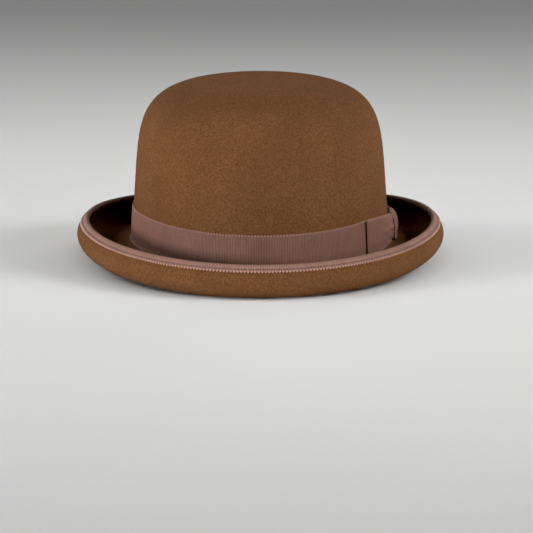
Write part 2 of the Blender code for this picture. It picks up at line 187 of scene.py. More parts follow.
def length_along(points):
    """How far each point is from the first one, along the line through them."""
    return np.concatenate([[0], np.cumsum(np.linalg.norm(np.diff(points, axis=0), axis=1))])


# ---------------------------------------------------------------- places round the hat


def break_up(phi):
    return BREAK_UP - BREAK_DIP * np.sin(phi) ** 2


def place(phi, out, up):
    """The points of a section at these angles. The three arrays are broadcast together."""
    phi, out, up = np.broadcast_arrays(phi, out, up)
    across, along = np.cos(phi), np.sin(phi)
    steepness = np.hypot(across / HALF_WIDTH, along / HALF_LENGTH)
    x = HALF_WIDTH * across + out * across / HALF_WIDTH / steepness
    y = HALF_LENGTH * along + out * along / HALF_LENGTH / steepness
    return np.stack([x, y, up], axis=-1)


def even_angles(first, last, spacing, out=0.0):
    """Angles that are evenly spaced along the oval that is this far outside the crown's foot."""
    fine = np.linspace(first, last, 6001)
    length = length_along(place(fine, out, 0.0))
    return np.interp(np.arange(0, length[-1], spacing), length, fine)


# ---------------------------------------------------------------- the crown's shape


def crown(phi, climb):
    """The crown's outer face. climb goes from 0 at its foot to 1 at its tip."""
    phi, climb = np.broadcast_arrays(phi, climb)
    foot = break_up(phi) + FILLET
    spread = np.maximum(1 - climb**SHOULDER_POWER, 0) ** (1 / TIP_POWER)
    inset = CROWN_TAPER * climb
    x = (HALF_WIDTH - inset) * spread * np.cos(phi)
    y = (HALF_LENGTH - inset) * spread * np.sin(phi)
    return np.stack([x, y, foot + (CROWN_TOP - foot) * climb], axis=-1)


def crown_inside(phi, climb, depth):
    """The points this far in from the crown's outer face, square to it."""
    step = 1e-4
    around = crown(phi + step, climb) - crown(phi - step, climb)
    rise = crown(phi, np.minimum(climb + step, 1)) - crown(phi, np.maximum(climb - step, 0))
    normal = np.cross(around, rise)
    normal /= np.linalg.norm(normal, axis=-1, keepdims=True)
    return crown(phi, climb) - normal * np.asarray(depth)[..., None]


def even_climbs(count, low=0.0):
    """Climbs that space this many rows evenly down the crown, from its tip to low, both included."""
    climb = np.sin(np.linspace(0, math.pi / 2, 4000)) ** (2 / SHOULDER_POWER)
    length = length_along(crown(math.radians(45), climb))
    ends = np.interp([1.0, low], climb, length)
    return np.interp(np.linspace(*ends, count), length, climb)


def climb_of(angle):
    """The climb of a row round the shoulder: 90 degrees is the tip, 0 the foot."""
    return math.sin(angle) ** (2 / SHOULDER_POWER)


def wall_out(phi, above_break):
    """Where the crown's outer face stands at this height. It leans in, so this is never positive."""
    climb = np.maximum(above_break - FILLET, 0) / (CROWN_TOP - break_up(phi) - FILLET)
    spread = (1 - climb**SHOULDER_POWER) ** (1 / TIP_POWER)
    return -CROWN_TAPER * climb - HALF_WIDTH * (1 - spread)


def outer_face(phi, above_break):
    """The same, with the fillet at the crown's foot, which stands out."""
    drop = np.clip(FILLET - above_break, 0, FILLET)
    return wall_out(phi, above_break) + FILLET - np.sqrt(FILLET**2 - drop**2)


# ---------------------------------------------------------------- the brim's section


def follow(start, segments, run):
    """(out, up, heading) after this run along straight and curved segments.

    A segment is (length, radius). A positive radius turns left, a negative one right, None not at all."""
    out, up, heading = start
    for length, radius in segments:
        step = np.clip(run, 0, length)
        if radius is None:
            out = out + step * np.cos(heading)
            up = up + step * np.sin(heading)
        else:
            turned = heading + step / radius
            out = out + radius * (np.sin(turned) - np.sin(heading))
            up = up - radius * (np.cos(turned) - np.cos(heading))
            heading = turned
        run = run - length
    return out, up, heading


def brim_segments(phi):
    slope = mixed(BRIM_SLOPE, phi)
    curl = mixed(CURL_RADIUS, phi)
    return [
        (FILLET * (math.pi / 2 - slope), FILLET),
        (mixed(BRIM_FLAT, phi), None),
        (curl * (slope + mixed(CURL_END, phi)), curl),
        (EDGE_STRAIGHT, None),
    ]


def brim_length(phi):
    return sum(length for length, _ in brim_segments(phi))


def brim(phi, run):
    """The brim's upper face, this far along its section from the crown's foot."""
    return follow((0.0, break_up(phi) + FILLET, -math.pi / 2), brim_segments(phi), run)


def beside(station, left):
    """The point this far to the left of a path, which is above it where the path runs outwards."""
    out, up, heading = station
    return out - left * np.sin(heading), up + left * np.cos(heading)


def round_edge(phi, radius, angle):
    """Round the end of the brim, from its upper face at 90 degrees to its outer one at -90."""
    out, up, heading = brim(phi, brim_length(phi))
    out, up = beside((out, up, heading), -FELT / 2)
    return out + radius * np.cos(heading + angle), up + radius * np.sin(heading + angle)


# ---------------------------------------------------------------- meshes


def made_object(name, bm, look):
    mesh = bpy.data.meshes.new(name)
    bm.to_mesh(mesh)
    bm.free()
    mesh.shade_smooth()
    mesh.materials.append(look)
    made = bpy.data.objects.new(name, mesh)
    bpy.context.scene.collection.objects.link(made)
    return made


def finish_piece(name, bm, look, sharp_deg=45):
    """Makes the object, in metres, in place of the CAD node of the same name."""
    bmesh.ops.recalc_face_normals(bm, faces=bm.faces)
    bmesh.ops.scale(bm, vec=(MM, MM, MM), verts=bm.verts)
    piece = made_object(name, bm, look)
    piece.data.set_sharp_from_angle(angle=math.radians(sharp_deg))
    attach(piece, "root")
    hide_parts(name)
    return piece


def grid_faces(rows, columns, wrap_rows, wrap_columns):
    """The quads of a grid of vertices, as an array of their numbers."""
    number = np.arange(rows * columns).reshape(rows, columns)
    if wrap_rows:
        number = np.concatenate([number, number[:1]])
    if wrap_columns:
        number = np.concatenate([number, number[:, :1]], axis=1)
    quads = np.stack([number[:-1, :-1], number[:-1, 1:], number[1:, 1:], number[1:, :-1]], axis=-1)
    return quads.reshape(-1, 4)


def grid_piece(name, points, look, wrap_rows=True, ring=True, poles=(), marks=(), sharp_deg=45):
    """A closed solid from a grid of points, rows by columns.

    A ring wraps round the hat, and a strip gets an end face at its first and last column. With poles,
    its first and last rows close on a point. marks gives each vertex numbers that a material reads: its
    place along and across a ribbon, and how far it is out along a loop of the edge."""
    bm = bmesh.new()
    layers = [bm.verts.layers.float.new(mark) for mark in ("along", "across", "loop")[: len(marks)]]
    rows, columns = points.shape[:2]
    made = [bm.verts.new(p) for p in points.reshape(-1, 3)]
    for layer, values in zip(layers, marks):
        for vertex, value in zip(made, values.ravel()):
            vertex[layer] = value
    for quad in grid_faces(rows, columns, wrap_rows, ring):
        bm.faces.new([made[k] for k in quad])
    if not ring:
        bm.faces.new([made[k * columns] for k in range(rows)])
        bm.faces.new([made[k * columns + columns - 1] for k in range(rows)])
    for pole, row in zip(poles, (0, rows - 1)):
        tip = bm.verts.new(pole)
        for k in range(columns):
            bm.faces.new([tip, made[row * columns + k], made[row * columns + (k + 1) % columns]])
    return finish_piece(name, bm, look, sharp_deg=sharp_deg)


def displace(piece, name, size_mm, height_mm, depth=2):
    """Unevenness in the mesh itself."""
    texture = bpy.data.textures.new(name, "CLOUDS")
    texture.noise_scale = size_mm * MM
    texture.noise_depth = depth
    modifier = piece.modifiers.new(name, "DISPLACE")
    modifier.texture = texture
    modifier.texture_coords = "LOCAL"
    modifier.strength = height_mm * MM
    modifier.mid_level = 0.5


def tubes(name, centres, sides, ups, radii, look):
    """Threads: one closed tube for each line of centres, with the strands of a twisted yarn on it.

    centres, sides and ups are arrays of threads by stations by 3; radii has a value for each station."""
    angle = np.linspace(0, 2 * math.pi, THREAD_CORNERS, endpoint=False)
    length = np.stack([length_along(line) for line in centres])
    turned = angle[None, None, :] - THREAD_TWIST * length[:, :, None]
    radius = radii[None, :, None] * (1 + 0.16 * np.cos(THREAD_PLY * turned))
    ring = sides[:, :, None, :] * np.cos(angle)[None, None, :, None]
    ring = ring + ups[:, :, None, :] * np.sin(angle)[None, None, :, None]
    points = centres[:, :, None, :] + ring * radius[..., None]
    bm = bmesh.new()
    for thread in points:
        made = [[bm.verts.new(p) for p in station] for station in thread]
        for first, second in zip(made, made[1:]):
            for k in range(THREAD_CORNERS):
                after = (k + 1) % THREAD_CORNERS
                bm.faces.new([first[k], first[after], second[after], second[k]])
        bm.faces.new(made[0])
        bm.faces.new(made[-1])
    return finish_piece(name, bm, look, sharp_deg=70)


def unit(vectors):
    return vectors / np.linalg.norm(vectors, axis=-1, keepdims=True)


def stitches(name, surface, starts, ends, lift, radius, look):
    """Stitches on a surface(u, v, off). Each dives in at both ends. starts and ends are arrays of (u, v)."""
    share = np.linspace(0, 1, 11)
    line = starts[:, None, :] + (ends - starts)[:, None, :] * share[None, :, None]
    u, v = line[..., 0], line[..., 1]
    sunk = 1.3 * radius
    dive = np.clip(np.minimum(share, 1 - share) / 0.14, 0, 1)
    off = (lift + sunk) * np.sqrt(dive * (2 - dive)) - sunk
    centres = surface(u, v, off[None, :])
    heading = unit(np.gradient(centres, axis=1))
    up = surface(u, v, off[None, :] + 0.1) - centres
    sides = unit(np.cross(heading, up))
    ups = unit(np.cross(sides, heading))
    radii = radius * (0.75 + 0.25 * dive)
    return tubes(name, centres, sides, ups, radii, look)


# ---------------------------------------------------------------- ribbons


def rib(u):
    """The height of the ribs along a ribbon: rounded tops, and narrow grooves between them."""
    return RIB_HEIGHT * (np.abs(np.sin(math.pi * u / RIB_PITCH)) ** 0.7 - 0.6)


def picot(u):
    """How far the loops of weft stand out past the ribbon's edge."""
    return PICOT * np.abs(np.sin(math.pi * u / (2 * RIB_PITCH))) ** 1.5


def across_ribbon(rows, *close):
    """Places from -1 to 1 across a ribbon: even ones, and some close together at its edges and at others."""
    shares = [np.linspace(-1, 1, rows), [-0.985, -0.955, -0.92, 0.92, 0.955, 0.985]]
    for spot in close:
        shares.append(spot + np.array([-0.075, -0.04, 0, 0.04, 0.075]))
    return np.unique(np.concatenate(shares))


def ribbon(name, surface, u, width, thickness, look, *, ring, face, back_rows=9, rim=0.45):
    """A ribbed ribbon with picot edges on surface(u, v, off), where v runs from -width / 2 to width / 2.

    face has the places of the rows of its face, and rim is how thick its edges are, as a share."""

    def side(share, sign):
        share = share[:, None] * sign
        near_edge = np.clip((np.abs(share) - 0.9) / 0.1, 0, 1)
        loop = picot(u)[None, :] * near_edge**2
        v = share * width / 2 + np.sign(share) * loop
        thin = rim + (1 - rim) * np.sqrt(1 - near_edge**3)
        off = sign * (thickness / 2 + rib(u)[None, :]) * thin
        marks = (np.broadcast_to(u[None, :], v.shape), v, loop / PICOT)
        return surface(u[None, :], v, off), *marks

    points, *marks = (np.concatenate(pair) for pair in zip(side(face, 1), side(across_ribbon(back_rows), -1)))
    return grid_piece(name, points, look, ring=ring, marks=marks, sharp_deg=180)


def band_surface(middle, lift):
    """The face of the band: u runs round the hat from an angle, v up the crown from the band's middle."""
    fine = np.linspace(-math.pi, math.pi, 4001) + middle
    length = length_along(place(fine, 0.5, 0.0))
    length -= length[len(length) // 2]

    def surface(u, v, off):
        phi = np.interp(u, length, fine)
        height = BAND_MIDDLE + v
        snug = 0.10 * wander(phi, 4, (3, 7, 12, 19)) * (v / BAND_MIDDLE)
        return place(phi, outer_face(phi, height) + lift + snug + off, break_up(phi) + height)

    return surface, length[-1]


def hat_band(look, thread):
    surface, half = band_surface(BAND_JOIN + math.pi, CLEAR + RIBBON / 2)
    width = BAND_HIGH - BAND_LOW
    u = np.arange(0, 2 * half - BAND_JOIN_GAP, RIB_PITCH / RIB_COLUMNS)
    length = u[-1]
    join_to_bow = (BAND_JOIN - BOW_MIDDLE) * HALF_LENGTH

    def worn(u, v, off):
        """The knot of the bow draws the band's upper edge down, and it rides up a little at the front."""
        to_bow = np.minimum(u + join_to_bow, np.abs(length - join_to_bow - u))
        front = np.sin(u / length * 2 * math.pi + BAND_JOIN) ** 6
        rise = 0.7 * front - BAND_DRAW * gathered(to_bow, *BOW_GATHER)
        return surface(u - length / 2, v + rise * (v / width + 0.5), off)

    ribbon("hat_band", worn, u, width, RIBBON, look, ring=False, face=across_ribbon(21))
    count = 7
    join, _ = band_surface(BAND_JOIN, CLEAR + RIBBON)
    rise = np.linspace(-9, 9, count + 1)
    side = np.where(np.arange(count + 1) % 2, 1.2, -1.2)
    spots = np.stack([side, rise], axis=-1)
    stitches("hat_band_join_thread", join, spots[:-1], spots[1:], 0.1, 0.12, thread)


def binding_surface():
    """The face of the binding: u runs along the brim's edge, v from its end inside to its end outside."""
    fine = np.linspace(0, 2 * math.pi, 6001) + BINDING_JOIN
    out, up, _ = brim(fine, brim_length(fine))
    length = length_along(place(fine, out, up))
    base = BINDING_CLEAR + BINDING / 2
    bend = math.pi * (FELT / 2 + base)

    def surface(u, v, off):
        phi = np.interp(u, length, fine)
        phi, v, off = np.broadcast_arrays(phi, v, off)
        back = np.maximum(np.abs(v) - bend / 2, 0)
        station = brim(phi, brim_length(phi) - back)
        inside = beside(station, base + off)
        outside = beside(station, -FELT - base - off)
        angle = -v / bend * math.pi
        end = round_edge(phi, FELT / 2 + base + off, angle)
        beyond = [np.where(v > bend / 2, face, round_it) for face, round_it in zip(outside, end)]
        return place(phi, *(np.where(v < -bend / 2, face, other) for face, other in zip(inside, beyond)))

    return surface, length[-1], bend


def brim_binding(look, thread):
    surface, length, bend = binding_surface()
    stitch_v = bend / 2 + BINDING_STITCH_BACK
    inside, outside = BINDING_BACK
    middle = (outside - inside) / 2

    def sewn(u, v, off):
        """The stitching pulls a groove into both faces of the ribbon."""
        v = v + middle
        groove = np.exp(-(((np.abs(v) - stitch_v) / 0.5) ** 4))
        return surface(u, v, off - groove * np.where(off > 0, 0.30, 0.24))

    step = RIB_PITCH / RIB_COLUMNS
    u = np.arange(1, int(length / step)) * step
    width = inside + outside + bend
    face = across_ribbon(11, (stitch_v - middle) / width * 2)
    ribbon("brim_binding", sewn, u, width, BINDING, look, ring=False, face=face, back_rows=4)

    pitch = length / round(length / BINDING_STITCH_PITCH)
    first = np.arange(0.4, length - pitch, pitch)
    for name, v, gap in (("binding_needle_thread", stitch_v, 0.5), ("binding_bobbin_thread", -stitch_v, 0.7)):
        starts = np.stack([first + gap / 2, np.full_like(first, v)], axis=-1)
        ends = np.stack([first + pitch - gap / 2, np.full_like(first, v)], axis=-1)
        stitches(name, surface, starts, ends, 0.06, 0.2, thread)


class Bow:
    """A flat bow: one ribbon folded into a loop each side, gathered by a knot that is wrapped round it.

    Its surface has u along the bow, v up it, and off away from what it lies on, each from its middle."""

    def __init__(
        self, surface, thickness, *, reach, half_height, pinch, drop, crest, gather, knot, lean, pleats, puff
    ):
        self.surface = surface
        self.thickness = thickness
        self.reach = reach  # from the middle to the end of a loop
        self.half_height = half_height  # of the ribbon where it lies flat
        self.pinch = pinch  # half-height of the ribbon in the knot
        self.drop = drop  # how far the ribbon sags there
        self.crest = crest  # how far its upper layer stands out there, at mid-height
        self.gather_from, self.gather_to = gather  # wholly drawn in up to the first, flat from the second
        # The knot's size, how far it stands out and sags, and how far its lower end is drawn back up
        self.knot_half_width, self.knot_half_height, self.bulge, self.knot_drop, self.tuck = knot
        self.lean = lean  # how much further out the knot stands at one edge than in the middle
        self.pleats, self.pleat_height = pleats  # how many there are across the ribbon, and how high
        self.puff = puff  # how far its upper layer stands off the lower one where it lies flat

    def flatness(self, along):
        """0 where the knot holds the ribbon, and 1 where the ribbon lies flat."""
        return 1 - gathered(np.abs(along), self.gather_from, self.gather_to)

    def resampled(self, line):
        """(u, points, normals) on a closed line, with a whole number of pairs of ribs."""
        line = np.concatenate([line, line[:1]])
        length = length_along(line)
        count = 2 * RIB_COLUMNS * round(length[-1] / RIB_PITCH / 2)
        u = np.linspace(0, length[-1], count, endpoint=False)
        points = np.stack([np.interp(u, length, column) for column in line.T], axis=-1)
        tangent = unit(np.roll(points, -2, axis=0) - np.roll(points, 2, axis=0))
        normal = np.stack([-tangent[:, 1], tangent[:, 0]], axis=-1)
        return np.arange(count) * RIB_PITCH / RIB_COLUMNS, points, normal

    def loop_line(self):
        """(along, off) round the edge of both loops: out along the upper layer, back along the lower one."""
        thick = self.thickness
        flat_under, flat_over = CLEAR + thick / 2, 2 * CLEAR + 1.5 * thick
        held_under, held_over = flat_over, flat_over + CLEAR + thick
        fold = (flat_over - flat_under) / 2 + 0.1
        along = np.linspace(-(self.reach - fold), self.reach - fold, 900)
        flat = self.flatness(along)
        settled = eased((np.abs(along) - self.gather_from) / SETTLE)
        near_fold = eased((self.reach - np.abs(along)) / (0.25 * self.reach))
        over = held_over + (flat_over - held_over) * settled
        over = over + self.puff * near_fold * flat + 0.2 * (1 - near_fold)
        under = held_under + (flat_under - held_under) * settled
        turn = np.linspace(math.pi / 2, -math.pi / 2, 24)[1:-1]
        middle, radius = (over[-1] + under[-1]) / 2, (over[-1] - under[-1]) / 2
        cap = np.stack([self.reach - fold + fold * np.cos(turn), middle + radius * np.sin(turn)], axis=-1)
        top, bottom = np.stack([along, over], axis=-1), np.stack([along, under], axis=-1)[::-1]
        return np.concatenate([top, cap, bottom, cap[::-1] * [-1, 1]])

    def knot_line(self):
        """(off, rise): flat behind the loops, and arched over them.

        Its lower half is the fuller one, and its lower end is drawn back up behind the loops."""
        back = CLEAR + self.thickness / 2
        reach = self.bulge - self.thickness / 2 - back
        angle = np.linspace(-math.pi / 2, math.pi / 2, 400)
        lower = angle < 0
        share = np.maximum(np.cos(angle), 0) ** np.where(lower, *KNOT_POWER)
        tuck = np.where(lower, self.tuck * (1 - share) ** 2, 0)
        rise = self.knot_half_height * np.sin(angle) - self.knot_drop + tuck
        return np.stack([back + reach * share, rise], axis=-1)

    def loops(self, name, look):
        """The gathered ribbon is crushed outwards along its middle, with small pleats on the way."""
        u, line, normal = self.resampled(self.loop_line())
        along, base = line[None, :, 0], line[None, :, 1]
        held = 1 - self.flatness(along)
        half = self.half_height + (self.pinch - self.half_height) * held
        crush = np.where(normal[None, :, 1] > 0, self.crest - base, 0.3)
        crush = held * crush * np.clip((self.reach - np.abs(along)) / 2, 0, 1)

        def surface(u_row, v, off):
            share = v / self.half_height
            ridge = 1 - np.abs(share) ** RIDGE_POWER
            wave = math.pi * self.pleats * (share + 0.17 * np.sin(along / 3))
            pleat = self.pleat_height * held * np.cos(wave)
            lean = self.lean * np.clip(along / self.knot_half_width, -1, 1) * held**3 * ridge
            raised = base + normal[None, :, 1] * off + crush * ridge + pleat * np.clip(crush, 0, 1) + lean
            slanted = along * (1 - 0.5 * share / self.reach) + normal[None, :, 0] * off
            return self.surface(slanted, share * half - self.drop * held, raised)

        width = 2 * self.half_height
        face = across_ribbon(41)
        ribbon(name, surface, u, width, self.thickness, look, ring=True, face=face, back_rows=19)

    def knot(self, name, look, slot):
        u, line, normal = self.resampled(self.knot_line())

        def surface(u_row, v, off):
            out = line[None, :, 0] + normal[None, :, 0] * off
            rise = line[None, :, 1] + normal[None, :, 1] * off
            across = v / self.knot_half_width
            crease = 0.3 * np.cos(math.pi * 1.5 * across)
            return self.surface(v, rise, out + (crease + self.lean * across) * out / self.bulge)

        width = 2 * self.knot_half_width
        face = across_ribbon(25)
        ribbon(
            name, surface, u, width, self.thickness, look, ring=True, face=face, back_rows=13, rim=1.5
        )


def side_bow(look):
    surface, _ = band_surface(BOW_MIDDLE, CLEAR + RIBBON)
    bow = Bow(
        surface,
        RIBBON,
        reach=65.6,
        half_height=10.8,
        pinch=7.6,
        drop=2.8,
        crest=3.7,
        gather=BOW_GATHER,
        knot=(7.0, 9.6, 4.9, 3.2, 1.2),
        lean=1.1,
        pleats=(3, 0.3),
        puff=0.25,
    )
    bow.loops("bow_loops", look)
    bow.knot("bow_knot", look, "ribbon")


# ---------------------------------------------------------------- the felt


def felt_body(look):
    """Crown and brim in one piece of felt. Its underside is pressed flat where the hat stands."""
    phi = np.linspace(0, 2 * math.pi, FELT_COLUMNS, endpoint=False)[None, :]
    climbs = even_climbs(112)[1:, None]
    share = np.linspace(0, 1, 48)[1:, None]
    run = share * brim_length(phi)
    edge = np.radians(np.linspace(75, -75, 5))[:, None]
    outer = crown(phi, climbs)
    upper = place(phi, *beside(brim(phi, run), 0))
    end = place(phi, *round_edge(phi, FELT / 2, edge))
    out, up = beside(brim(phi, run[::-1]), -FELT)
    lower = place(phi, out, np.maximum(up, 0.04))
    inner = crown_inside(phi, climbs[::-1][::4], FELT)
    points = np.concatenate([outer, upper, end, lower, inner])
    poles = ((0, 0, CROWN_TOP), (0, 0, CROWN_TOP - FELT))
    body = grid_piece("felt_body", points, look, wrap_rows=False, poles=poles)
    displace(body, "blocking", 38, 0.22)
    displace(body, "nap", 1.6, 0.12, depth=3)


# ---------------------------------------------------------------- inside the crown


def strip_section(phi, low, high, depths, rows):
    """(out, up) of a strip along the crown's wall, with rounded corners, as arrays of rows by columns."""
    near, far = depths
    middle, half = (near + far) / 2, (far - near) / 2
    share = np.linspace(0, 1, rows)[:, None]
    rim = np.clip(np.minimum(share, 1 - share) * (high - low) / 0.48, 0, 1)
    half = half * (0.4 + 0.6 * np.sqrt(rim * (2 - rim)))
    height = low + (high - low) * share
    out = wall_out(phi, height)
    up = break_up(phi) + height
    return np.concatenate([out - middle + half, (out - middle - half)[::-1]]), np.concatenate([up, up[::-1]])


def split_angles(middle, gap, columns):
    half = gap / 2 / HALF_WIDTH
    return np.linspace(middle + half, middle + 2 * math.pi - half, columns)[None, :]


def inner_surface(middle_height, depth):
    """A face inside the hat, at its back: u runs round it, v up it, and off towards the middle of the hat."""

    def surface(u, v, off):
        phi = REAR + u / HALF_WIDTH
        height = middle_height + v
        return place(phi, wall_out(phi, height) - depth - off, break_up(phi) + height)

    return surface


def sweatband(leather, cloth, thread):
    phi = split_angles(REAR, 0.4, 480)
    out, up = strip_section(phi, LEATHER_LOW, LEATHER_HIGH, LEATHER_DEPTH, 64)
    share = np.clip((up - break_up(phi) - LEATHER_LOW) / (LEATHER_HIGH - LEATHER_LOW), 0, 1)
    out = out - 0.35 * share**3 * (1 + wander(phi, 8, (5, 9, 14)))
    tooled = np.exp(-(((share - 0.93) / 0.012) ** 2)) + np.exp(-(((share - 0.90) / 0.008) ** 2))
    out[len(out) // 2 :] += 0.22 * tooled[len(out) // 2 :]
    band = grid_piece("sweatband", place(phi, out, up), leather, ring=False)
    displace(band, "leather_wave", 17, 0.25)

    reach = math.radians(6)
    phi = np.linspace(REAR - reach, REAR + reach, 40)[None, :]
    section = strip_section(phi, LINING_LOW, LEATHER_HIGH - 3, TICKET_DEPTH, 30)
    grid_piece("sweatband_seam_tape", place(phi, *section), cloth, ring=False)

    middle = (LEATHER_LOW + LEATHER_HIGH) / 2
    surface = inner_surface(middle, LEATHER_DEPTH[1] + THREAD_CLEAR)
    count = 24
    rise = np.linspace(LEATHER_LOW + 3 - middle, LEATHER_HIGH - 2 - middle, count + 1)
    spots = np.stack([np.where(np.arange(count + 1) % 2, 1.6, -1.6), rise], axis=-1)
    stitches("sweatband_seam_thread", surface, spots[:-1], spots[1:], 0.12, 0.16, thread)


def reed(plastic, cloth, thread):
    """The cord in the sweatband's lower edge, the tape folded round it, and their stitching."""
    phi = split_angles(REAR, 7.0, 300)
    angle = np.linspace(0, 2 * math.pi, 12, endpoint=False)[:, None]
    out = -REED_DEPTH + REED_RADIUS * np.cos(angle) + 0 * phi
    up = break_up(phi) - REED_DROP + REED_RADIUS * np.sin(angle)
    grid_piece("reed_cord", place(phi, out, up), plastic, ring=False)

    phi = split_angles(REAR, 3.0, 480)
    radius = REED_RADIUS + THREAD_CLEAR + TAPE / 2
    bend = 0.4
    leg = TAPE_HIGH + REED_DROP
    round_cord, back_up = (1.5 * math.pi * radius, -radius), (0.5 * math.pi * bend, bend)
    segments = [(leg, None), round_cord, (0.35, None), back_up, (leg - radius - bend, None)]
    run = np.linspace(0, sum(length for length, _ in segments), 56)[:, None]
    station = follow((radius - REED_DEPTH, break_up(phi) + TAPE_HIGH, -math.pi / 2), segments, run)
    near, far = beside(station, TAPE / 2), beside(station, -TAPE / 2)
    out, up = (np.concatenate([a, b[::-1]]) for a, b in zip(near, far))
    grid_piece("reed_tape", place(phi, out, up), cloth, ring=False)

    surface = inner_surface(0, LEATHER_DEPTH[1] + THREAD_CLEAR)
    u = (even_angles(REAR + 0.04, REAR + 2 * math.pi - 0.04, 3.2, -5.0) - REAR) * HALF_WIDTH
    v = LEATHER_LOW + np.where(np.arange(len(u)) % 2, 3.2, 0.9)
    spots = np.stack([u, v], axis=-1)
    stitches("reed_zigzag_thread", surface, spots[:-1], spots[1:], 0.1, 0.15, thread)

    def between(u, v, off):
        phi = u / HALF_WIDTH
        return place(phi, -2.35 - off, break_up(phi) + 0.6 + v)

    u = even_angles(0, 2 * math.pi, 5.0) * HALF_WIDTH
    starts = np.stack([u + 0.8, 0 * u], axis=-1)
    ends = np.stack([u + 3.6, 0 * u], axis=-1)
    stitches("sweatband_sewing_thread", between, starts, ends, 0.05, 0.14, thread)


def rear_bow(look):
    bow = Bow(
        inner_surface(11.0, LEATHER_DEPTH[1] + 0.5),
        0.3,
        reach=13.0,
        half_height=2.6,
        pinch=1.6,
        drop=0.0,
        crest=2.2,
        gather=(1.8, 8.0),
        knot=(1.8, 2.6, 3.2, 0.0, 0.0),
        lean=0.0,
        pleats=(2, 0.15),
        puff=0.4,
    )
    bow.loops("rear_bow_loops", look)
    bow.knot("rear_bow_knot", look, "rear_bow_tape")


def crown_layer(phi, climb, depths, extra):
    """Both faces of a layer inside the crown: down its outer face, and back up its inner one."""
    outer, inner = (crown_inside(phi, climb, depth + extra) for depth in depths)
    return np.concatenate([outer, inner[::-1]])


def lining(satin, thread, film):
    """The side and the tip of the lining, their seam, and the clear shield sewn over the tip."""
    phi = split_angles(math.radians(120), 0.4, 720)
    low = (LINING_LOW - FILLET) / (CROWN_TOP - break_up(phi) - FILLET)
    high = climb_of(LINING_SEAM - LINING_SEAM_GAP)
    share = np.linspace(0, 1, 46)[:, None]
    climb = low + (high - low) * share
    pucker = eased((share - 0.35) / 0.65) * (0.5 + 0.5 * wander(phi, 3, (61, 83, 107)))
    points = crown_layer(phi, climb, LINING_DEPTH, PUCKER * pucker)
    grid_piece("lining_side", points, satin, ring=False)

    phi = np.linspace(0, 2 * math.pi, 480, endpoint=False)[None, :]
    climbs = even_climbs(60, low=climb_of(LINING_SEAM + LINING_SEAM_GAP))[1:, None]
    spread = 1 - (1 - climbs**SHOULDER_POWER) ** (1 / TIP_POWER)
    ripple = eased(1 - spread / 0.35) * (0.5 + 0.5 * wander(phi, 5, (31, 47, 71))) * 0.5
    points = crown_layer(phi, climbs, LINING_DEPTH, ripple)
    poles = [(0, 0, CROWN_TOP - depth) for depth in LINING_DEPTH]
    grid_piece("lining_tip", points, satin, wrap_rows=False, poles=poles)

    shield = even_climbs(18, low=climb_of(SHIELD_EDGE))[1:, None]
    points = crown_layer(phi[:, ::2], shield, SHIELD_DEPTH, 0.0)
    poles = [(0, 0, CROWN_TOP - depth) for depth in SHIELD_DEPTH]
    grid_piece("tip_shield", points, film, wrap_rows=False, poles=poles)

    def on_crown(depth, middle):
        def surface(u, v, off):
            return crown_inside(u, middle + v, depth + off)

        return surface

    def ring_of_stitches(name, depth, middle, count, reach, fill):
        turn = np.linspace(0, 2 * math.pi, count, endpoint=False)
        side = np.where(np.arange(count) % 2, reach, -reach)
        starts = np.stack([turn, side], axis=-1)
        ends = np.stack([turn + 2 * math.pi / count * fill, -side], axis=-1)
        stitches(name, on_crown(depth, middle), starts, ends, 0.12, 0.13, thread)

    seam_depth = LINING_DEPTH[1] + PUCKER + THREAD_CLEAR
    ring_of_stitches("lining_seam_thread", seam_depth, climb_of(LINING_SEAM), 240, 0.0, 0.7)
    ring_of_stitches("tip_shield_thread", SHIELD_DEPTH[1] + 0.2, climb_of(SHIELD_SEAM), 120, 0.0006, 1.0)


def size_ticket(paper):
    phi = np.radians(np.linspace(102, 114, 40))[None, :]
    section = strip_section(phi, 18.0, 30.0, TICKET_DEPTH, 24)
    grid_piece("size_ticket", place(phi, *section), paper, ring=False)


# ---------------------------------------------------------------- materials


def linear(colour):
    """An 8-bit sRGB colour as the linear one that a shader takes."""
    share = np.array(colour) / 255
    values = np.where(share <= 0.04045, share / 12.92, ((share + 0.055) / 1.055) ** 2.4)
    return (*values, 1.0)


